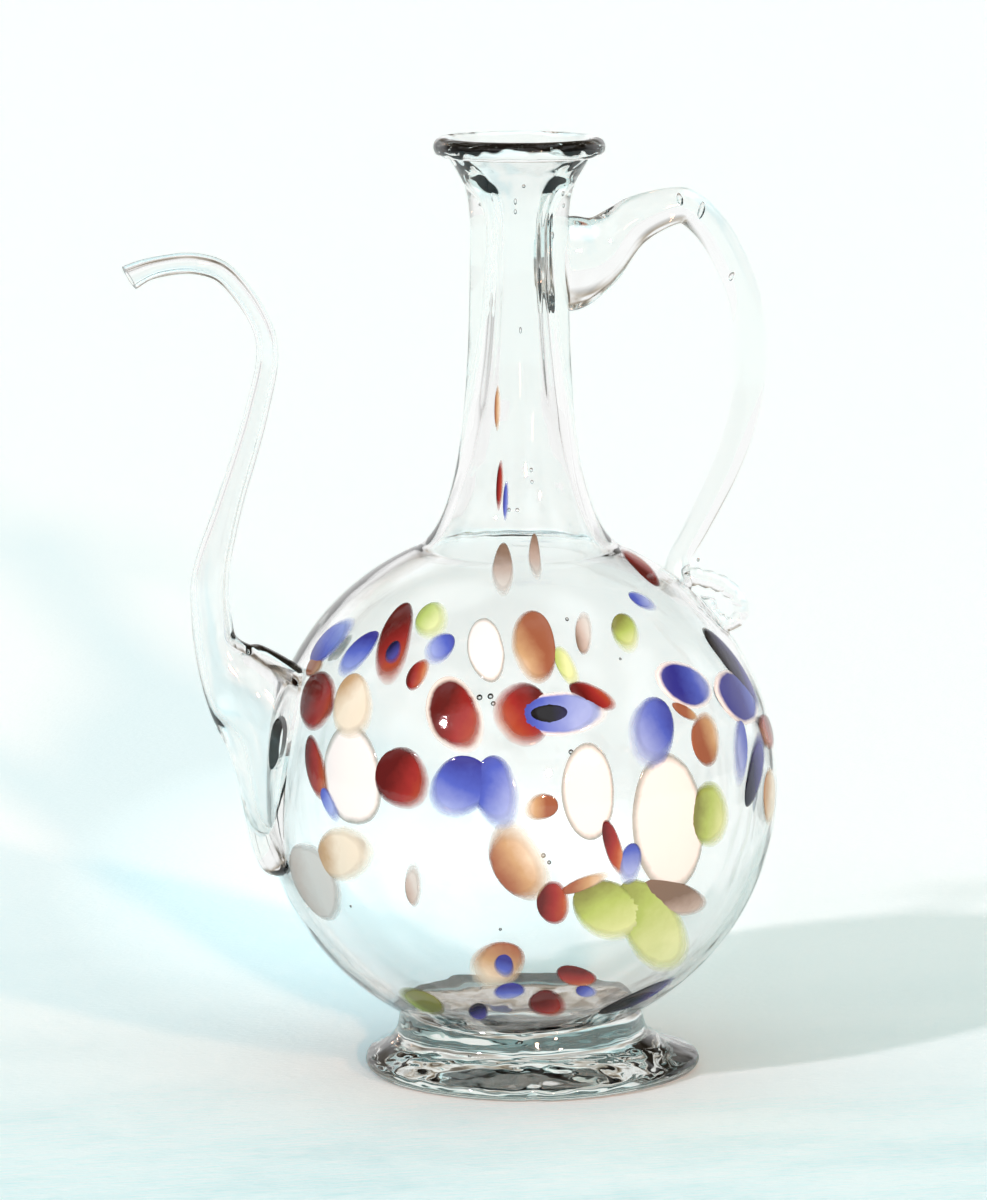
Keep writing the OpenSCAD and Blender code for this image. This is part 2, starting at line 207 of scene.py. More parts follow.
def make_cloth():
    material = bpy.data.materials.new("pale_cloth")
    material.use_nodes = True
    tree = material.node_tree
    links = tree.links
    tree.nodes.remove(tree.nodes["Principled BSDF"])
    cloth = add(tree, "ShaderNodeBsdfDiffuse", Roughness=0.0)
    links.new(cloth.outputs[0], tree.nodes["Material Output"].inputs["Surface"])
    threads = sums(tree, "MULTIPLY", noise(tree, *THREADS), 0.5)
    weave = sums(tree, "MULTIPLY_ADD", noise(tree, *FOLDS), 0.5, threads)
    place = add(tree, "ShaderNodeTexCoord").outputs["Object"]
    behind = sums(tree, "ADD", how_far(tree, place, -to_camera), FADE_START)
    mix = add(tree, "ShaderNodeMix", data_type="RGBA")
    links.new(ramp(tree, behind, FADE), mix.inputs["Factor"])
    links.new(ramp(tree, weave, CLOTH), mix.inputs["A"])
    mix.inputs["B"].default_value = (*FAR_CLOTH, 1)
    gained = add(tree, "ShaderNodeVectorMath", operation="SCALE")
    links.new(mix.outputs["Result"], gained.inputs[0])
    links.new(cloth_gain_and_painted_pool(tree, place), gained.inputs["Scale"])
    links.new(gained.outputs[0], cloth.inputs["Color"])
    put_bump(tree, cloth, noise(tree, *NAP), 0.25, 0.002)
    return material


pale_cloth = make_cloth()
print("cloth:", len(pale_cloth.node_tree.nodes), "nodes")

# %% [markdown]
# The cloth runs back out of sight, and one large flat face is enough for it. It lies a hair below
# the foot, so that light gets in between them.

# %% Floor
FLOOR_REACH = 14
FLOOR_GAP = 0.3


def make_floor():
    bm = bmesh.new()
    bmesh.ops.create_grid(bm, x_segments=1, y_segments=1, size=FLOOR_REACH)
    bmesh.ops.translate(bm, verts=bm.verts, vec=(0, 0, -FLOOR_GAP * MM))
    mesh = bpy.data.meshes.new("floor")
    bm.to_mesh(mesh)
    bm.free()
    floor = bpy.data.objects.new("floor", mesh)
    scene.collection.objects.link(floor)
    mesh.materials.append(pale_cloth)
    return floor


floor = make_floor()
print("floor:", len(floor.data.polygons), "face")

# %% [markdown]
# Glass before a white backdrop shows its edges as thin dark lines, because there it bends the
# eye's ray past the backdrop into a dimmer room. So the room that is seen in the glass is white
# only behind the jug. Its ceiling is a dim brown with pale patches, which gives the thick rims
# and the foot their bands. As a light, the room is cool, and comes mostly from above.

# %% Room
ROOM_STRENGTH = 0.72
ROOM_LIGHT = [(0.25, (0.11, 0.20, 0.20)), (0.60, (0.60, 0.93, 0.96))]
WALLS = [(0.10, (0.24, 0.23, 0.22)), (0.60, WHITE)]
CEILING = [(0.40, (0.13, 0.10, 0.07)), (0.50, (0.45, 0.38, 0.30)), (0.62, WHITE)]
CEILING_START = [(0.22, BLACK), (0.44, WHITE)]


def make_room():
    world = bpy.data.worlds.new("studio")
    scene.world = world
    world.use_nodes = True
    tree = world.node_tree
    links = tree.links
    direction = add(tree, "ShaderNodeTexCoord").outputs["Generated"]
    split = add(tree, "ShaderNodeSeparateXYZ")
    links.new(direction, split.inputs["Vector"])
    light = tree.nodes["Background"]
    light.inputs["Strength"].default_value = ROOM_STRENGTH
    links.new(ramp(tree, split.outputs["Z"], ROOM_LIGHT), light.inputs["Color"])
    patches = add(tree, "ShaderNodeTexNoise", Scale=2.6, Detail=1.0)
    links.new(direction, patches.inputs["Vector"])
    mix = add(tree, "ShaderNodeMix", data_type="RGBA")
    links.new(ramp(tree, split.outputs["Z"], CEILING_START), mix.inputs["Factor"])
    links.new(ramp(tree, how_far(tree, direction, -to_camera), WALLS), mix.inputs["A"])
    links.new(ramp(tree, patches.outputs["Fac"], CEILING), mix.inputs["B"])
    seen = add(tree, "ShaderNodeBackground")
    links.new(mix.outputs["Result"], seen.inputs["Color"])
    choose = add(tree, "ShaderNodeMixShader")
    links.new(looking(tree), choose.inputs[0])
    links.new(light.outputs[0], choose.inputs[1])
    links.new(seen.outputs[0], choose.inputs[2])
    links.new(choose.outputs[0], tree.nodes["World Output"].inputs["Surface"])


make_room()
print("room light:", ROOM_STRENGTH)

# %% [markdown]
# Soft lamps stand far off in front. Two warm ones on the right, one higher than the other, throw
# the long cool shadows to the left. One on the left throws the short olive shadow to the right.
# A lamp has a turn from the camera's side, a height, a softness, a strength and a colour.

# %% Lamps
def make_lamp(name, turn, height, softness, strength, colour):
    lamp = bpy.data.objects.new(name, bpy.data.lights.new(name, "SUN"))
    lamp.data.angle = math.radians(softness)
    lamp.data.energy = strength
    lamp.data.color = colour
    turn, height = math.radians(turn), math.radians(height)
    side = math.sin(turn) * to_right + math.cos(turn) * to_camera
    towards = side * math.cos(height) + Vector((0, 0, math.sin(height)))
    lamp.location = 2 * towards
    lamp.rotation_euler = (-towards).to_track_quat("-Z", "Y").to_euler()
    scene.collection.objects.link(lamp)


make_lamp("lamp_right", 36, 20, 4, 1.05, (1.0, 0.48, 0.30))
make_lamp("lamp_low", 12, 13, 3, 2.00, (1.0, 0.48, 0.30))
make_lamp("lamp_left", -40, 32, 3, 1.20, (1.0, 0.81, 0.85))

# %% [markdown]
# The clear glass is one material for all the blown and pulled pieces. It is smooth, but never
# quite even, so a slow ripple bends what is seen through it. The lip and the foot were worked
# last and cooled while they were still being turned, so they carry a finer mottle too. The glass
# takes up a little light in its thickness, which draws the edges darker.

# %% Clear glass
GLASS_TINT = (0.66, 0.74, 0.64)
GLASS_DENSITY = 6.0
RIPPLE, RIPPLES = 0.5, (34, 2, 0.45)
MOTTLE, MOTTLES = 1.3, (105, 1, 0.5, (1, 1, 1.5))
MOTTLED_ENDS = [(0.008, (0.45, 0.45, 0.45)), (0.020, BLACK), (0.228, BLACK), (0.233, WHITE)]


def make_clear_glass():
    material, tree, shader = new_material("clear_glass", Roughness=0.0, IOR=1.5,
                                          Base_Color=(1, 1, 1, 1), Transmission_Weight=1)
    split = add(tree, "ShaderNodeSeparateXYZ")
    tree.links.new(add(tree, "ShaderNodeTexCoord").outputs["Object"], split.inputs["Vector"])
    ends = ramp(tree, split.outputs["Z"], MOTTLED_ENDS)
    mottle = sums(tree, "SUBTRACT", noise(tree, *MOTTLES), 0.5)
    ripple = sums(tree, "MULTIPLY", noise(tree, *RIPPLES), RIPPLE)
    height = sums(tree, "MULTIPLY_ADD", sums(tree, "MULTIPLY", mottle, ends), MOTTLE, ripple)
    put_bump(tree, shader, height, 1.0, 0.001)
    inside = add(tree, "ShaderNodeVolumeAbsorption", Density=GLASS_DENSITY)
    inside.inputs["Color"].default_value = (*GLASS_TINT, 1)
    tree.links.new(inside.outputs["Volume"], tree.nodes["Material Output"].inputs["Volume"])
    return material


clear_glass = make_clear_glass()
print("clear glass:", len(clear_glass.node_tree.nodes), "nodes")

# %% [markdown]
# Most outlines are arcs and free curves. Both are given as points in millimetres across (x) and
# up (z), and these two helpers make them. A curve is pulled by its two middle points and leaves
# out its first one, which the line before it has already.

# %% Arcs and curves
def arc(centre, r, start, end, steps):
    turns = [math.radians(start + (end - start) * i / steps) for i in range(steps + 1)]
    return [Vector(centre) + r * Vector((math.cos(t), math.sin(t))) for t in turns]


def curve(p, q, r, s, steps):
    p, q, r, s = Vector(p), Vector(q), Vector(r), Vector(s)
    out = []
    for i in range(1, steps + 1):
        t = i / steps
        u = 1 - t
        out.append(u * u * u * p + 3 * u * u * t * q + 3 * u * t * t * r + t * t * t * s)
    return out


print("half a circle in two steps:",
      [(round(p.x, 1), round(p.y, 1)) for p in arc((0, 0), 1, 0, 180, 2)])

# %% [markdown]
# The body, neck and lip are blown as one wall, so one closed outline goes up the outside, rolls
# over the lip and comes down the inside. Spinning it about the axis makes the whole wall. The
# outside can be grown a little all over, which the cutting block needs further down.

# %% The body's outline
GLOBE = 66.2
GLOBE_Z = 74
WALL = 2.8
SHOULDER = 27
SHOULDER_WALL = 3
NECK = 12.5
BORE = 5.8
NECK_Z = 214
LIP = 21.8
LIP_Z = 239.4
LIP_T = 5
LIP_MEETS = -115
OUTER_PULL, OUTER_RISE = 12, 49
INNER_PULL, INNER_RISE = 7, 50
lip_middle = Vector((LIP - LIP_T / 2, LIP_Z - LIP_T / 2))


def leaves_globe(r, shoulder, pull):
    turn = math.acos(shoulder / r)
    leave = Vector((shoulder, GLOBE_Z + r * math.sin(turn)))
    return turn, leave, leave + pull * Vector((-math.sin(turn), math.cos(turn)))


def outside(grow=0.0):
    r, neck = GLOBE + grow, NECK + grow
    turn, leave, pulled = leaves_globe(r, SHOULDER + grow, OUTER_PULL)
    under = math.radians(LIP_MEETS)
    meet = lip_middle + (LIP_T / 2 + grow) * Vector((math.cos(under), math.sin(under)))
    waist = Vector((neck, NECK_Z))
    return (arc((0, GLOBE_Z), r, -90, math.degrees(turn), 72)
            + curve(leave, pulled, (neck, NECK_Z - OUTER_RISE), waist, 26)
            + curve(waist, (neck, NECK_Z + 12), (neck + 1, LIP_Z - 12), meet, 12))


def inside():
    r = GLOBE - WALL
    turn, leave, pulled = leaves_globe(r, SHOULDER - SHOULDER_WALL, INNER_PULL)
    mouth = (LIP - LIP_T - 0.4, LIP_Z - LIP_T / 2 + 0.6)
    throat = (BORE, NECK_Z + 2)
    low = arc((0, GLOBE_Z), r, math.degrees(turn), -90, 66)
    return (curve(mouth, (LIP - LIP_T - 1.6, LIP_Z - 7), (BORE, LIP_Z - 9), throat, 14)
            + curve(throat, (BORE, NECK_Z - INNER_RISE), pulled, leave, 36) + low[1:])


lip_roll = arc(lip_middle, LIP_T / 2, -100, 165, 20)
print("outline points:", len(outside()) + len(lip_roll) + len(inside()))

# %% [markdown]
# Spin copies the outline round the axis and stitches the copies. The first and last points lie
# on the axis, so all their copies are merged into one pole each.

# %% Spin helper
def spin_outline(points, steps):
    bm = bmesh.new()
    verts = [bm.verts.new((p.x * MM, 0, p.y * MM)) for p in points]
    edges = [bm.edges.new(pair) for pair in zip(verts, verts[1:])]
    bmesh.ops.spin(bm, geom=verts + edges, cent=(0, 0, 0), axis=(0, 0, 1),
                   angle=2 * math.pi, steps=steps, use_merge=True)
    bmesh.ops.remove_doubles(bm, verts=bm.verts, dist=1e-7)
    bmesh.ops.recalc_face_normals(bm, faces=bm.faces)
    return bm


def as_object(bm, name):
    mesh = bpy.data.meshes.new(name)
    bm.to_mesh(mesh)
    bm.free()
    piece = bpy.data.objects.new(name, mesh)
    scene.collection.objects.link(piece)
    return piece


# %% [markdown]
# Where one gather is pressed on another, the later one takes the shape of the first. A block of
# the body's outside, a hair larger than the body, is cut out of the foot, spout and handle, so
# that each lies snug on the skin. A finished piece gets its glass and its smooth shading, and
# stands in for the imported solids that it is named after.

# %% Cutting and finishing helpers
GAP = 0.02


def combine(piece, tool, how):
    modifier = piece.modifiers.new("cut", "BOOLEAN")
    modifier.operation = how
    modifier.solver = "EXACT"
    modifier.object = tool
    graph = bpy.context.evaluated_depsgraph_get()
    result = bpy.data.meshes.new_from_object(piece.evaluated_get(graph))
    piece.modifiers.clear()
    piece.data = result
    bpy.data.objects.remove(tool)


def block_mesh(grow):
    edge = outside(grow)
    return spin_outline(edge + [Vector((0, edge[-1].y))], 120)


def cut_to_body(piece):
    combine(piece, as_object(block_mesh(GAP), "block"), "DIFFERENCE")


def settle(piece, material, nodes, crease=38):
    piece.data.materials.clear()
    piece.data.materials.append(material)
    piece.data.shade_smooth()
    piece.data.set_sharp_from_angle(angle=math.radians(crease))
    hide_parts(*nodes)
    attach(piece, "root")
    piece.data.calc_loop_triangles()
    print(piece.name, len(piece.data.loop_triangles), "triangles")


# %% [markdown]
# Hand-blown glass keeps seeds, small bubbles of air. Each is an inner skin of its piece, a small
# ball whose faces look into the air. A place is a turn from the handle, a distance from the axis
# and a height, then come the seed's size and how far it was drawn out upwards.

# %% Seeds
def seed(piece, seeds):
    bm = bmesh.new()
    bm.from_mesh(piece.data)
    for turn, out, up, size, drawn in seeds:
        t = math.radians(turn)
        place = Matrix.Translation(Vector((out * math.cos(t), out * math.sin(t), up)) * MM)
        made = bmesh.ops.create_icosphere(bm, subdivisions=2, radius=size / 2 * MM,
                                          matrix=place @ Matrix.Diagonal((1, 1, drawn, 1)))
        faces = dict.fromkeys(f for v in made["verts"] for f in v.link_faces)
        bmesh.ops.reverse_faces(bm, faces=list(faces))
    bm.to_mesh(piece.data)
    bm.free()


BODY_SEEDS = [
    (-118.2, 57.1, 104.8, 1.5, 1), (-116, 56.9, 105.3, 1.6, 1), (-113.3, 56.7, 105.6, 1.6, 1),
    (-112.5, 57.6, 104, 1.3, 1), (-94.4, 62.2, 92.6, 1.4, 1), (-92.3, 62, 93, 1.4, 1),
    (-93.1, 62.6, 91.2, 1.5, 1), (-100.9, 64.6, 67.5, 1.3, 1), (-99.6, 64.4, 65.7, 1.1, 1),
    (-57.2, 39.9, 125.2, 0.9, 1), (-149.5, 60.6, 50.8, 0.8, 1), (-77.5, 51.8, 113.1, 0.8, 1),
    (-16, 45.7, 131.5, 1, 1), (-110.6, 59.5, 48.1, 0.9, 1), (60, 55, 109, 1.2, 1),
    (112, 60, 95, 1, 1),
    (-31.9, 9.4, 229.2, 0.9, 1.4), (-31.9, 9.2, 226.2, 0.9, 1.8), (-27.3, 9.2, 222.6, 0.8, 1.6),
    (-100.2, 9.2, 228.5, 0.9, 1), (-111.8, 9.2, 224.2, 0.8, 2.2), (-111.8, 9.2, 221.5, 0.8, 1.8),
    (-171, 9.2, 223, 0.8, 1), (-104.4, 9.2, 191.4, 0.7, 2.5), (-95.9, 17, 156.8, 1, 1.2),
    (-95.2, 17, 153.8, 0.9, 1.2), (-114.1, 18.5, 146.9, 1.1, 1), (-107.6, 18.5, 146.9, 1.1, 1),
    (-53.3, 9.2, 215.1, 0.8, 2.4)]
HANDLE_SEEDS = [(2, 42.4, 221.4, 1.7, 1), (-1, 47.4, 219.6, 1.7, 1.9), (1, 57.5, 203, 0.9, 2.5),
                (0, 44, 126, 1.4, 1)]
FOOT_SEEDS = [(-108, 33, 6, 1.2, 0.8), (-84, 36, 4.5, 1, 0.8), (-130, 30, 8, 1, 1),
              (-70, 33, 6, 1.3, 0.8), (-95, 24, 9, 1.4, 1), (-150, 34, 5, 1, 0.8),
              (20, 34, 5, 1.2, 0.8), (95, 33, 6, 1.2, 0.8)]
print("seeds:", len(BODY_SEEDS) + len(HANDLE_SEEDS) + len(FOOT_SEEDS))

# %% [markdown]
# The bore of a drawn neck is never even: folds left from the blowing run up it as soft ridges
# and fan out over the shoulder. Each ridge is a narrow swell of the inner wall, given by its
# turn, its width in degrees and its height. Points count as inner when they lie on the inner
# side of the middle of the wall.

# %% Ridges in the bore
RIDGES = [(-147, 9, 0.3), (-128, 8, 0.25), (-95, 14, 0.15), (-57, 9, 0.3), (-30, 9, 0.2),
          (18, 10, 0.3), (62, 9, 0.2), (101, 12, 0.25), (148, 10, 0.3), (196, 10, 0.25)]
RIDGE_START, RIDGE_GROWS = 128, 30
RIDGE_END, RIDGE_FADES = 236, 10
GLOBE_TOP = 132
NECK_WIDENS = 162
NECK_MIDDLE = 9.2


def on_inner_wall(r, z):
    if z < GLOBE_TOP:
        return math.hypot(r, z - GLOBE_Z) < GLOBE - WALL / 2
    return r < NECK_MIDDLE + max(0, NECK_WIDENS - z) * 0.5


def degrees_from(turn, middle):
    return (turn - middle + 180) % 360 - 180


def ridge_height(turn, z):
    share = max(0, min(1, (z - RIDGE_START) / RIDGE_GROWS))
    share *= max(0, min(1, (RIDGE_END - z) / RIDGE_FADES))
    total = 0
    for middle, width, height in RIDGES:
        total += height * math.exp(-(degrees_from(turn, middle) / width) ** 2)
    return total * share


print("ridges:", len(RIDGES), "the highest", max(ridge[2] for ridge in RIDGES), "mm")

# %% [markdown]
# The body is the spun outline with its ridges. A round hole is cut through its wall on the left,
# where the spout was put on, so that the jug pours.

# %% Body
HOLE = 6.5
HOLE_RISE = 13
HOLE_LENGTH = 14


def pour_hole():
    bm = bmesh.new()
    place = Matrix.Translation((-GLOBE * MM, 0, (GLOBE_Z + HOLE_RISE) * MM))
    place = place @ Matrix.Rotation(math.pi / 2, 4, "Y")
    bmesh.ops.create_cone(bm, cap_ends=True, segments=48, radius1=HOLE * MM, radius2=HOLE * MM,
                          depth=HOLE_LENGTH * MM, matrix=place)
    return as_object(bm, "pour_hole")


def make_body():
    bm = spin_outline(outside() + lip_roll + inside(), 200)
    for v in bm.verts:
        x, y, z = v.co / MM
        r = math.hypot(x, y)
        if r > 1 and on_inner_wall(r, z):
            v.co.xy *= (r - ridge_height(math.degrees(math.atan2(y, x)), z)) / r
    body = as_object(bm, "body_glass")
    combine(body, pour_hole(), "DIFFERENCE")
    seed(body, BODY_SEEDS)
    settle(body, clear_glass, ["body"], 50)


make_body()

# %% [markdown]
# The foot is one solid gather. Its outline runs along the flat underside, round the rolled edge,
# up the waisted stem and back over the body's curve. The flange was spread off the axis, so the
# mesh is sheared towards the handle as it goes out. Slow waves run round its rim and its top,
# and it keeps the lap where the gather's two ends met.

# %% Foot
FOOT = 43.4
FOOT_SHIFT = 3.1
FOOT_EDGE = 3.6
STEM = 31.6
STEM_Z = 15
LAP_TURN = -105
LAP_WIDTH = 2.6
LAP_DEPTH = 1.3
LAP_RISE = 0.9
RIM_TRIM = 0.4
RIM_WAVES = [(0.35, 3, 0.8), (0.25, 5, 2.1)]
FLANGE_WAVES = [(0.25, 2, 1)]


def waves(turn, parts):
    return sum(height * math.cos(times * turn + shift) for height, times, shift in parts)


def foot_outline():
    edge = FOOT_EDGE / 2
    top = STEM_Z + 0.6
    points = [Vector((0, 0)), Vector((STEM * 0.5, 0)), Vector((STEM, 0))]
    points += arc((FOOT - edge, edge), edge, -90, 70, 14)
    points += curve(points[-1], (FOOT - 5, FOOT_EDGE + 1.5), (STEM + 3.5, 6.2),
                    (STEM + 1, 9.5), 12)
    points += curve(points[-1], (STEM - 0.1, 11.5), (STEM + 0.5, STEM_Z - 2), (STEM - 1.2, top), 8)
    return points + [Vector((0, top))]


def spread(v):
    x, y, z = v.co / MM
    r, turn = math.hypot(x, y), math.atan2(y, x)
    out = max(0, min(1, (r - STEM + 2) / (FOOT - STEM)))
    lap = math.exp(-(degrees_from(math.degrees(turn), LAP_TURN) / LAP_WIDTH) ** 2)
    if r > 1:
        v.co.xy *= (r + out * (waves(turn, RIM_WAVES) - RIM_TRIM - LAP_DEPTH * lap)) / r
    v.co.x += FOOT_SHIFT * MM * out
    if z > 0.2:
        fold = LAP_RISE * lap * z / FOOT_EDGE * (r < FOOT - 1)
        v.co.z += MM * out * (waves(turn, FLANGE_WAVES) + fold)


def make_foot():
    bm = spin_outline(foot_outline(), 160)
    for v in bm.verts:
        spread(v)
    foot = as_object(bm, "foot_glass")
    cut_to_body(foot)
    seed(foot, FOOT_SEEDS)
    settle(foot, clear_glass, ["foot"])


make_foot()

# %% [markdown]
# The handle and the spout are pulled, so each is a tube whose oval section changes along a path
# in one plane. A station gives a place on the path, the angle of the section and its two sizes.
# More stations are eased in between, on a smooth line through all of them. A circle is laid at
# the first and drawn on from each to the next, and both ends are closed.

# %% Tube helper
def eased(stations, steps):
    out = []
    last = len(stations) - 1
    for i in range(last):
        a, b = stations[max(i - 1, 0)], stations[i]
        c, d = stations[i + 1], stations[min(i + 2, last)]
        for k in range(steps):
            t = k / steps
            out.append([q + 0.5 * t * ((r - p) + t * ((2 * p - 5 * q + 4 * r - s)
                        + t * (3 * q - p - 3 * r + s))) for p, q, r, s in zip(a, b, c, d)])
    return out + [stations[last]]


def placed(station):
    x, z, angle, long, wide = station
    turn = Matrix.Rotation(-math.radians(angle), 3, "Y")
    return Matrix.LocRotScale(MM * Vector((x, 0, z)), turn, MM * Vector((long / 2, wide / 2, 1)))


def tube(stations, sides):
    bm = bmesh.new()
    places = [placed(station) for station in stations]
    bmesh.ops.create_circle(bm, radius=1, segments=sides, matrix=places[0])
    first = edges = list(bm.edges)
    for old, new in zip(places, places[1:]):
        made = bmesh.ops.extrude_edge_only(bm, edges=edges)["geom"]
        verts = [part for part in made if isinstance(part, bmesh.types.BMVert)]
        bmesh.ops.transform(bm, matrix=new @ old.inverted(), verts=verts)
        edges = [part for part in made if isinstance(part, bmesh.types.BMEdge)
                 and all(v in verts for v in part.verts)]
    ends = [bmesh.ops.contextual_create(bm, geom=loop)["faces"][0] for loop in (first, edges)]
    bmesh.ops.poke(bm, faces=ends)
    bmesh.ops.recalc_face_normals(bm, faces=bm.faces)
    return bm


# %% [markdown]
# The handle was pressed on the neck as a broad pad, pulled up and over the crown, let fall in a
# tapering arm to the shoulder, and pressed on there. Its end was curled back on itself with
# pincers, which left small crimps along the curl.

# %% Handle
HANDLE = [
    [9.5, 207, 90, 24, 16], [14.9, 207, 90, 24, 16], [19.3, 207.8, 92, 21.4, 14.5],
    [24.3, 211.2, 98, 18.4, 12.6], [30.9, 217.3, 101, 12.8, 12.2], [40.2, 220.7, 91, 9.8, 11.3],
    [45.7, 219.9, 71, 9.2, 10.6], [53.1, 212.1, 40, 8.7, 10], [59.9, 197.7, 19, 8.2, 9.4],
    [61.8, 183.3, 2, 8, 9.2], [60.3, 167.8, -11, 7.7, 8.9], [55.2, 153, -22, 7, 8],
    [47.8, 138.8, -27, 6.3, 7.2], [42.9, 130.2, -23, 6, 7.5], [42.3, 124.7, -12, 8, 9.3],
    [41.3, 121.2, -8, 8, 9.3]]
CURL = [
    [43.2, 125.7, 75, 4.8, 5.8], [49.6, 124.7, 66, 4.6, 6.2], [56, 121.9, 45, 4.4, 6],
    [59.8, 116.3, -15, 3.8, 5.4], [56.8, 112.4, -85, 3.6, 4.8], [52.4, 114.9, -150, 3.8, 5],
    [50.6, 119.7, -190, 3.8, 5]]
CRIMP_LONG = 0.13
CRIMP_WIDE = 0.08
CRIMP_STEP = 2.1


def crimped(stations):
    out = []
    for i, (x, z, angle, long, wide) in enumerate(stations):
        swell = math.sin(CRIMP_STEP * i)
        out.append([x, z, angle, long * (1 + CRIMP_LONG * swell), wide * (1 + CRIMP_WIDE * swell)])
    return out


def make_handle():
    handle = as_object(tube(eased(HANDLE, 6), 36), "handle_glass")
    curl = as_object(tube(crimped(eased(CURL, 6)), 24), "curl")
    combine(handle, curl, "UNION")
    cut_to_body(handle)
    seed(handle, HANDLE_SEEDS)
    settle(handle, clear_glass, ["handle"])


make_handle()

# %% [markdown]
# The spout starts as a flattened funnel on the side of the body, rises in an S and ends in a cut
# and flared tip. Its hollow is a second tube, which stays clear of a solid tail at the bottom
# and comes out of the tip. The walls are thicker over the first three stations, the funnel.

# %% Spout
SPOUT = [
    [-53.6, 77, 260, 47, 24], [-63.6, 81.5, 260, 53, 26], [-71, 96.9, 256, 31.8, 21.5],
    [-75.7, 103.8, 242, 20.7, 17], [-79.2, 111.5, 217, 12.4, 13], [-80.5, 119, 187, 10.2, 10.8],
    [-80.8, 130.9, 179, 9.4, 9.4], [-76.2, 147.4, 158, 7, 7], [-68.6, 171.8, 159, 6, 6],
    [-66, 189.9, 184, 5.4, 5.4], [-74.8, 205.1, 233, 5.4, 5.4], [-83.8, 209.5, 262, 5.4, 5.4],
    [-94.6, 208.8, 279, 5.4, 5.4], [-101, 206.5, 300, 6.7, 6.7]]
TUBE_WALL = 1.3
FUNNEL_WALL = 2.6
FUNNEL_TOP = 5.6
FUNNEL_STATIONS = 3
TAIL = 11
TIP_PAST = 2


def inset(station, low, high, side):
    x, z, angle, long, wide = station
    shift = (low - high) / 2
    a = math.radians(angle)
    return [x + shift * math.cos(a), z + shift * math.sin(a), angle,
            long - low - high, wide - 2 * side]


def hollow_stations():
    out = []
    for i, station in enumerate(SPOUT[:-1]):
        near = max(0, 1 - i / FUNNEL_STATIONS)
        thick = min(1, max(0, 2 - i / FUNNEL_STATIONS))
        wall = TUBE_WALL + (FUNNEL_WALL - TUBE_WALL) * thick
        out.append(inset(station, wall + (FUNNEL_TOP - wall) * near, wall + TAIL * near, wall))
    x, z, angle, long, wide = SPOUT[-1]
    ahead = math.radians(angle - 90)
    past = [x + TIP_PAST * math.cos(ahead), z + TIP_PAST * math.sin(ahead), angle, long, wide]
    return out + [inset(past, TUBE_WALL, TUBE_WALL, TUBE_WALL)]


def make_spout():
    spout = as_object(tube(eased(SPOUT, 9), 56), "spout_glass")
    hollow = as_object(tube(eased(hollow_stations(), 9), 48), "hollow")
    combine(spout, hollow, "DIFFERENCE")
    cut_to_body(spout)
    settle(spout, clear_glass, ["spout"])


make_spout()
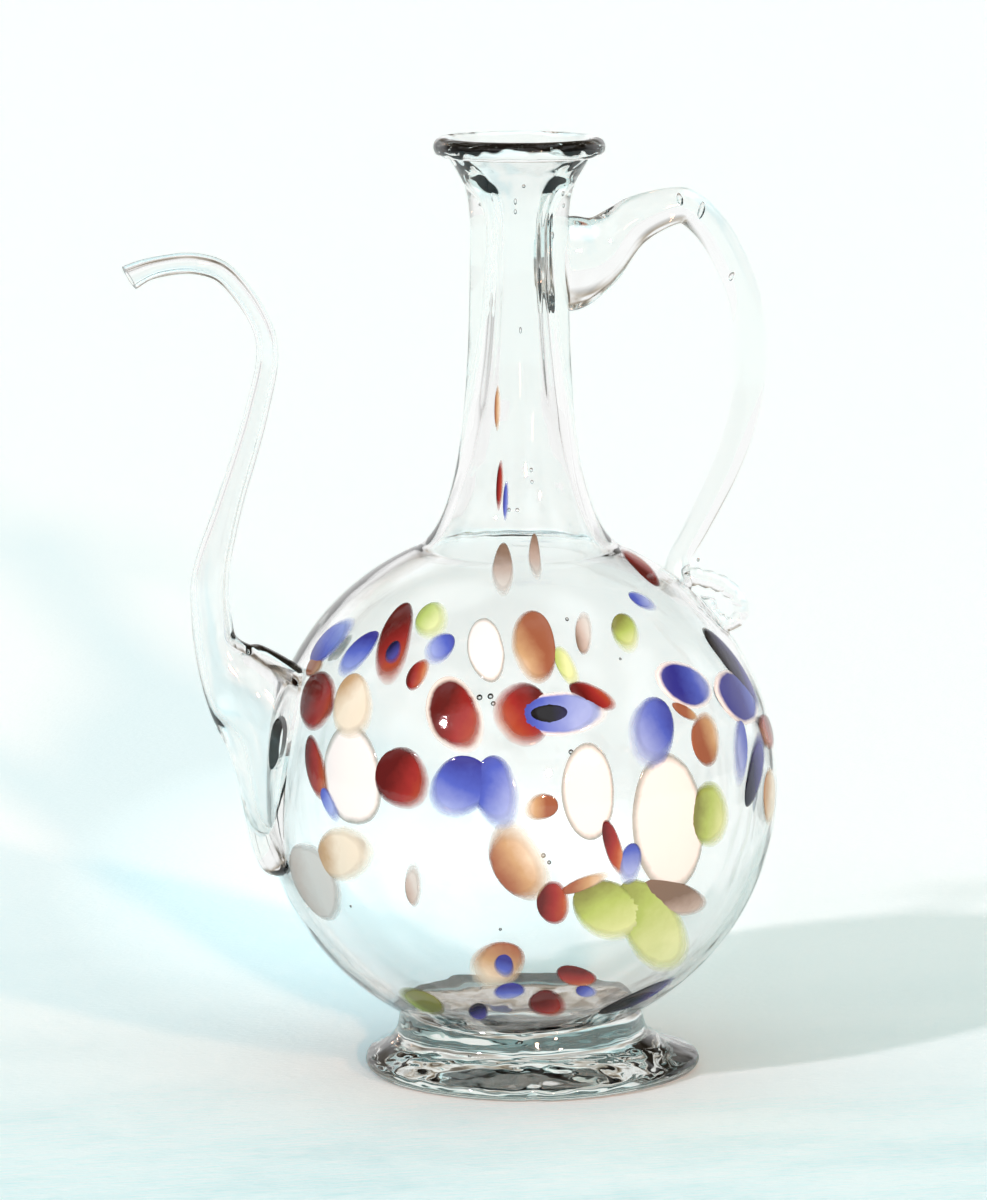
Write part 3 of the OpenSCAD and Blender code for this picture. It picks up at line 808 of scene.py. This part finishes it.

# %% [markdown]
# The spots are scraps of coloured glass, picked up by the hot body and melted nearly flush. Each
# colour is one mesh of many thin drops. Their places are in degrees, as seen from the middle of
# the round body: the turn from the handle, the angle above the middle, length, width and lean.
# Then come the softness of the rim, the way the colour pales, how pale it is, and whether the rim
# gets painted light: a painted highlight, or painted shade on the white drops.
# A streak has its turn, its share of the way up to the neck, its length and its width.

# %% Places of the spots
NEAR = {
    "navy": [
        [-142.5, 37.5, 7, 4, -10, 0.8, 120, 0.6, 0], [-99, 25, 10, 5.5, -90, 0.3, 90, 0, 0],
        [-35, 30, 24.5, 8, -25, 0.4, 90, 0.5, 0], [-41, 7.5, 20, 7, 40, 0.5, 90, 0.6, 0],
        [-120, -50.5, 8.5, 4.5, 20, 0.5, 150, 0.6, 0],
        [-63.5, -48, 18.5, 8, 55, 0.3, 120, 0.35, 0]],
    "blue": [
        [-170.5, 37.5, 14.5, 10, 25, 0.5, 50, 0.5, 0], [-155, 36, 13.5, 7, 20, 0.5, 170, 0.45, 0],
        [-129, 39.5, 8.5, 6.5, 30, 0.8, 240, 0.7, 0],
        [-151.5, 2.5, 10, 3.5, -40, 0.8, 100, 0.8, 0],
        [-119, 9, 14, 13, 80, 0.4, 200, 0.5, 0], [-111, 8, 15.5, 10, -5, 0.6, 120, 0.65, 0],
        [-96.5, 25, 20, 10.5, -90, 0.4, 100, 0.7, 1], [-59, 50.5, 7, 5, -50, 0.9, 100, 0.8, 0],
        [-60.5, 29, 16, 11, -80, 0.4, 90, 0.2, 1], [-74.5, 19.5, 15.5, 12, 15, 0.7, 240, 0.7, 0],
        [-40.5, 23.5, 21, 12, -80, 0.4, 90, 0.1, 1], [-47.5, 12, 16, 6, 20, 0.9, 270, 0.85, 0],
        [-81.5, -8.5, 9, 6, 0, 0.8, 180, 0.8, 0], [-110, -33, 7.5, 5, 5, 0.8, 200, 0.3, 0],
        [-109, -41.5, 7, 6, 75, 0.5, 180, 0.4, 0], [-86, -42.5, 6, 4, -55, 0.7, 130, 0.5, 0]],
    "red": [
        [-144, 40, 23, 8, -15, 0.45, 120, 0.35, 0], [-133, 33, 8, 4.5, 20, 0.5, 90, 0.55, 0],
        [-163, 24, 16, 11.5, -65, 0.35, 100, 0.3, 0], [-157, 9.5, 16.5, 6, -35, 0.5, 80, 0.5, 0],
        [-121.5, 24.5, 18, 12, -20, 0.45, 110, 0.3, 1],
        [-132.5, 10, 14, 12.5, -5, 0.4, 120, 0.3, 0], [-105.5, 25, 13.5, 13, 5, 0.6, 240, 0.5, 0],
        [-88, 28.5, 10.5, 5.5, -60, 0.45, 60, 0.35, 0],
        [-35.5, 60.5, 17.5, 6.5, 40, 0.5, 110, 0.45, 0],
        [-28, 13.5, 15, 7.5, -80, 0.5, 230, 0.5, 0], [-85.5, -4.5, 12.5, 4, -20, 0.4, 100, 0.6, 0],
        [-98.5, -16.5, 10, 7.5, -5, 0.35, 90, 0.45, 0], [-90.5, -37, 10, 6, -60, 0.3, 180, 0.4, 0],
        [-97, -47, 11.5, 8.5, -20, 0.6, 140, 0.3, 0]],
    "amber": [
        [-171, 31, 7.5, 5.5, 80, 0.4, 90, 0, 0], [-149.5, 24, 17, 10.5, -30, 0.5, 130, 0.95, 0],
        [-102, 41, 17.5, 10, 0, 0.35, 250, 0.15, 0], [-59, 16.5, 12, 9, 5, 0.5, 80, 0.25, 0],
        [-63.5, 23, 7.5, 3, -60, 0.5, 100, 0.1, 0], [-32, -0.5, 14.5, 10, -20, 0.6, 100, 0.9, 0],
        [-101.5, 5, 7, 6, 80, 0.5, 270, 0.3, 0], [-106, -7, 18.5, 12.5, -20, 0.8, 60, 0.55, 0],
        [-91.5, -12, 10.5, 3.5, 70, 0.6, 90, 0.45, 0],
        [-147.5, -8, 19.5, 11.5, 70, 0.7, 90, 0.95, 0],
        [-112, -33.5, 15, 12, 40, 0.9, 200, 0.6, 0]],
    "green": [
        [-134.5, 46.5, 11.5, 7.5, -20, 0.9, 100, 0.8, 0], [-73, 43, 10.5, 7, 15, 0.7, 150, 0.5, 0],
        [-93.5, 35.5, 10, 4.5, -15, 0.9, 90, 0.95, 0], [-60, 0, 14.5, 12.5, -35, 0.6, 100, 0.5, 0],
        [-84.5, -19.5, 19.5, 14, -60, 0.5, 150, 0.6, 0],
        [-70.5, -26.5, 34, 13.5, -45, 0.5, 140, 0.75, 0],
        [-140, -48.5, 12, 10.5, 50, 0.6, 240, 0.1, 0]],
    "grey": [
        [-114, 63, 17, 4.8, -5, 0.5, 170, 0.55, 0], [-97.5, 66.5, 13, 3, 5, 0.7, 190, 0.5, 0],
        [-86.5, 44, 11, 4, 15, 0.6, 90, 0.7, 0], [-67.5, -18, 20.5, 7.5, -70, 0.35, 170, 0.15, 0],
        [-160.5, -16.5, 21, 17.5, 40, 0.3, 80, 0.85, 0],
        [-130, -13, 11.5, 4, 10, 0.9, 80, 0.9, 0]],
    "white": [
        [-146, 9.5, 24, 15, -20, 0.1, 80, 1, 1], [-115.5, 40, 16, 8, -10, 0.1, 90, 1, 1],
        [-71.5, -0.5, 29.5, 19.5, -15, 0.1, 70, 1, 1], [-91, 8, 19.5, 12.5, 0, 0.1, 90, 1, 1]]}
STREAKS = {"red": [[-123, 0.17, 11, 1.6]], "blue": [[-117, 0.12, 8.5, 1.3]],
           "amber": [[-129, 0.43, 10.5, 1.4]]}
print("spots in view:", sum(len(spots) for spots in NEAR.values()))
print("streaks:", sum(len(streaks) for streaks in STREAKS.values()))

# %% [markdown]
# The far side isn't known, but it isn't bare either. Each broad spot in view has a smaller one of
# another colour at the back. It lies where the camera's line of sight through the middle of the
# near one leaves the body, so that it never shows as a dark shape between the near ones. The
# eye's place is given from the middle of the round body.

# %% The far side
EYE = Vector((-435, -1516, 290))
FAR_SHARE = 0.55
FAR_STEP = 2
LEAST_WIDTH = 10
LEAST_ANGLE = -40
FAR_MELT = 0.4
FAR_SHADE = 0.45


def far_side(rank):
    out = []
    colours = list(NEAR)
    for spot in NEAR[colours[(rank + FAR_STEP) % len(colours)]]:
        turn, angle, long, wide, lean, _, fade, _, _ = spot
        if wide < LEAST_WIDTH or angle < LEAST_ANGLE:
            continue
        t, a = math.radians(turn), math.radians(angle)
        p = GLOBE * Vector((math.cos(a) * math.cos(t), math.cos(a) * math.sin(t), math.sin(a)))
        ray = (p - EYE).normalized()
        q = p - 2 * p.dot(ray) * ray
        out.append([math.degrees(math.atan2(q.y, q.x)), math.degrees(math.asin(q.z / GLOBE)),
                    FAR_SHARE * long, FAR_SHARE * wide, -lean, FAR_MELT, -fade, FAR_SHADE, 0])
    return out


print("spots at the back:", sum(len(far_side(rank)) for rank in range(len(NEAR))))

# %% [markdown]
# A drop starts as a flat disc of rings, made by spinning one spoke, with its own map. Its points
# keep their place on the disc. Five values ride on them for the colour: how near the rim a point
# is, how far along the drop's fade, how pale the drop, how soft its rim, and whether its rim gets
# painted light.

# %% Disc helper
RINGS = [1.0, 0.975, 0.94, 0.9, 0.85, 0.78, 0.68, 0.55, 0.4, 0.24, 0.1, 0]
SPOKES = 36
VALUES = ["rim", "side", "shade", "melt", "painted_rim_shading"]


def new_disc(bm):
    others = set(bm.verts)
    dots = [bm.verts.new((size, 0, 0)) for size in RINGS]
    spoke = [bm.edges.new(pair) for pair in zip(dots, dots[1:])]
    bmesh.ops.spin(bm, geom=dots + spoke, cent=(0, 0, 0), axis=(0, 0, 1),
                   angle=2 * math.pi, steps=SPOKES, use_merge=True)
    disc = [v for v in bm.verts if v not in others]
    bmesh.ops.remove_doubles(bm, verts=disc, dist=1e-3)
    disc = [v for v in bm.verts if v not in others]
    faces = list(dict.fromkeys(f for v in disc for f in v.link_faces))
    flat = {v: v.co.to_2d() for v in disc}
    uv = bm.loops.layers.uv["drop"]
    for f in faces:
        for corner in f.loops:
            x, y = flat[corner.vert]
            corner[uv].uv = 0.5 + 0.5 * x, 0.5 + 0.5 * y
    return flat, faces


def set_values(bm, v, values):
    for name, value in zip(VALUES, values):
        v[bm.verts.layers.float[name]] = value


print("a drop has", 2 * (len(RINGS) - 1) * SPOKES, "faces")

# %% [markdown]
# The disc is stretched to the drop's length and width, turned to its lean and pressed a little
# out of round. Then each point is thrown on the skin, and a copy of the disc is raised from it
# into a low dome. The two are merged at the rim.

# %% Drop helper
DROP = 0.3
OUT_OF_ROUND = 0.07
STREAK_OUT = 20
ABOVE = 0.06


def rounded(x, y, turn):
    a = math.atan2(y, x)
    wave = math.sin(2 * a + math.radians(3 * turn)) + 0.4 * math.cos(3 * a + math.radians(turn))
    return 1 + OUT_OF_ROUND * wave


def lay_drop(bm, skin, base, axes, spot, lift):
    ahead, down, across = axes
    turn, _, long, wide, lean, melt, fade, shade, painted_rim_shading = spot
    reach = GLOBE * MM * math.pi / 360
    lean, fade = math.radians(lean), math.radians(fade)
    long_way = Vector((math.cos(lean), -math.sin(lean))) * long * reach
    wide_way = Vector((math.sin(lean), math.cos(lean))) * wide * reach
    paler = Vector((-math.cos(fade), math.sin(fade)))
    span = math.hypot(paler.dot(long_way), paler.dot(wide_way))
    flat, faces = new_disc(bm)
    rise = {}
    for v, (x, y) in flat.items():
        way = x * long_way + y * wide_way
        spread_out = rounded(x, y, turn) * way
        start = base + down * spread_out.x + across * spread_out.y
        place, normal, _, _ = skin.ray_cast(start + ahead * ABOVE, -ahead)
        v.co = place + normal * lift * MM
        rim = math.hypot(x, y)
        rise[v] = normal * DROP * MM * math.sqrt(max(0, 1 - rim ** 5))
        set_values(bm, v, (rim, paler.dot(way) / span, shade, melt, painted_rim_shading))
    copy = bmesh.ops.duplicate(bm, geom=list(flat) + faces)["vert_map"]
    for v in flat:
        copy[v].co = v.co + rise[v]
    bmesh.ops.remove_doubles(bm, verts=list(flat) + [copy[v] for v in flat], dist=1e-6)


# %% [markdown]
# All drops of a colour go into one mesh. Each faces along its own direction from the middle of
# the body, and a streak lies along the neck. The first colour of the table lies highest and each
# next one a hair deeper. Within a colour, each drop lies a trace above the one before it. So
# drops that overlap stay apart.

# %% All drops of a colour
TOP_LIFT = 0.28
COLOUR_STEP = 0.04
SPOT_STEP = 0.002
STREAK_LIFT = 0.1
STREAK_LOOK = [0, 0.8, 90, 0.5, 0]


def make_drops(colour, rank, skin):
    bm = bmesh.new()
    bm.loops.layers.uv.new("drop")
    for name in VALUES:
        bm.verts.layers.float.new(name)
    for i, spot in enumerate(NEAR[colour] + far_side(rank)):
        swing = Matrix.Rotation(math.radians(spot[0]), 3, "Z")
        swing = swing @ Matrix.Rotation(math.radians(90 - spot[1]), 3, "Y")
        ahead, down, across = swing.col[2], swing.col[0], swing.col[1]
        base = Vector((0, 0, GLOBE_Z * MM)) + ahead * GLOBE * MM
        lift = TOP_LIFT - COLOUR_STEP * rank + SPOT_STEP * i
        lay_drop(bm, skin, base, (ahead, down, across), spot, lift)
    for turn, share, long, wide in STREAKS.get(colour, []):
        z = GLOBE_Z + GLOBE + share * (NECK_Z - GLOBE_Z - GLOBE)
        swing = Matrix.Rotation(math.radians(turn), 3, "Z")
        ahead, down, across = swing.col[0], Vector((0, 0, -1)), swing.col[1]
        base = Vector((0, 0, z * MM)) + ahead * STREAK_OUT * MM
        spot = [turn, 0, long, wide] + STREAK_LOOK
        lay_drop(bm, skin, base, (ahead, down, across), spot, STREAK_LIFT)
    bmesh.ops.recalc_face_normals(bm, faces=bm.faces)
    return bm


# %% [markdown]
# Coloured glass of this kind is cloudy. Its colour runs from deep on one side of a drop to pale
# on the other, drifts with the cooling, and thins into the clear glass at the rim. On some drops
# the rim is painted paler, a painted highlight of the raised edge; on the white drops it is
# painted grey, a painted shade. The gloss is that of the clear glass.
# Each colour has its stops from deep to pale, its painted rim colour and where that painted rim
# starts.

# %% Coloured glass
# The second entry of each colour is its painted rim colour: a pale painted highlight, or grey
# painted shade for the white drops.
COLOURS = {
    "navy": ([(0.10, (0.003, 0.003, 0.006)), (0.40, (0.010, 0.010, 0.070)),
              (0.90, (0.07, 0.08, 0.40))], (0.30, 0.34, 0.72), 0.80),
    "blue": ([(0.05, (0.030, 0.035, 0.30)), (0.45, (0.075, 0.13, 0.60)),
              (1.0, (0.34, 0.47, 0.88))], (0.93, 0.95, 0.97), 0.80),
    "red": ([(0.10, (0.10, 0.006, 0.006)), (0.48, (0.29, 0.026, 0.024)),
             (0.74, (0.38, 0.075, 0.030)), (1.0, (0.56, 0.27, 0.13))], (0.84, 0.85, 0.80), 0.80),
    "amber": ([(0.10, (0.30, 0.115, 0.060)), (0.50, (0.52, 0.37, 0.20)),
               (0.90, (0.82, 0.82, 0.68))], (0.90, 0.86, 0.80), 0.80),
    "green": ([(0.10, (0.20, 0.24, 0.06)), (0.45, (0.40, 0.59, 0.15)),
               (0.95, (0.70, 0.88, 0.46))], (0.85, 0.92, 0.75), 0.80),
    "grey": ([(0.10, (0.20, 0.15, 0.11)), (0.50, (0.50, 0.46, 0.42)),
              (0.90, (0.62, 0.68, 0.67))], (0.30, 0.27, 0.24), 0.80),
    "white": ([(0.50, (0.86, 0.93, 0.95)), (1.0, (0.92, 0.97, 0.98))], (0.42, 0.48, 0.46), 0.84)}
DRIFT, DRIFTS = 0.5, (110, 4, 0.6)
SIDE_SHARE = 0.56
RAGGED, RAGS = 0.16, (170, 3, 0.6)
PAINTED_RIM_WIDTH = 0.12
RIM_REACH = 1.03
MELT_SIDE, MELT_SHARE, MELT_LEAST = 0.52, 0.56, 0.03
DIMPLES = (420, 2, 0.5)


def value_of(tree, name):
    return add(tree, "ShaderNodeAttribute", attribute_name=name).outputs["Fac"]


def make_coloured_glass(colour):
    stops, painted_rim_colour, painted_rim_start = COLOURS[colour]
    material, tree, shader = new_material(colour + "_glass", Roughness=0.05, IOR=1.5)
    links = tree.links
    side = value_of(tree, "side")
    drift = sums(tree, "MULTIPLY_ADD", noise(tree, *DRIFTS), DRIFT, -DRIFT / 2)
    drift = sums(tree, "MULTIPLY_ADD", side, SIDE_SHARE, drift)
    shade = sums(tree, "ADD", value_of(tree, "shade"), drift)
    ragged = sums(tree, "MULTIPLY_ADD", noise(tree, *RAGS), RAGGED, -RAGGED / 2)
    edge = sums(tree, "ADD", value_of(tree, "rim"), ragged)
    # Painted rim light and shade: near the rim the colour turns to the painted rim colour.
    painted_rim_shading = ramp(tree, edge, [(painted_rim_start, BLACK), (painted_rim_start + PAINTED_RIM_WIDTH, WHITE)])
    mix = add(tree, "ShaderNodeMix", data_type="RGBA")
    links.new(sums(tree, "MULTIPLY", painted_rim_shading, value_of(tree, "painted_rim_shading")), mix.inputs["Factor"])
    links.new(ramp(tree, shade, stops), mix.inputs["A"])
    mix.inputs["B"].default_value = (*painted_rim_colour, 1)
    links.new(mix.outputs["Result"], shader.inputs["Base Color"])
    inwards = sums(tree, "SUBTRACT", RIM_REACH, edge)
    lean = sums(tree, "MULTIPLY_ADD", side, MELT_SIDE, MELT_SHARE)
    depth = sums(tree, "MULTIPLY_ADD", value_of(tree, "melt"), lean, MELT_LEAST)
    cover = sums(tree, "DIVIDE", inwards, depth)
    links.new(ramp(tree, cover, [(0.0, BLACK), (1.0, WHITE)]), shader.inputs["Alpha"])
    put_bump(tree, shader, noise(tree, *DIMPLES), 0.025, 0.002)
    return material


print("colours:", ", ".join(COLOURS))

# %% [markdown]
# The drops are thrown on the body's own outside, in the order in which the hot body picked them
# up: the last colour of the table first.

# %% The spots
block = block_mesh(0)
block.normal_update()
skin = BVHTree.FromBMesh(block)
block.free()
for rank, colour in reversed(list(enumerate(NEAR))):
    drops = as_object(make_drops(colour, rank, skin), colour + "_drops")
    settle(drops, make_coloured_glass(colour), [colour + "_spots"], 80)
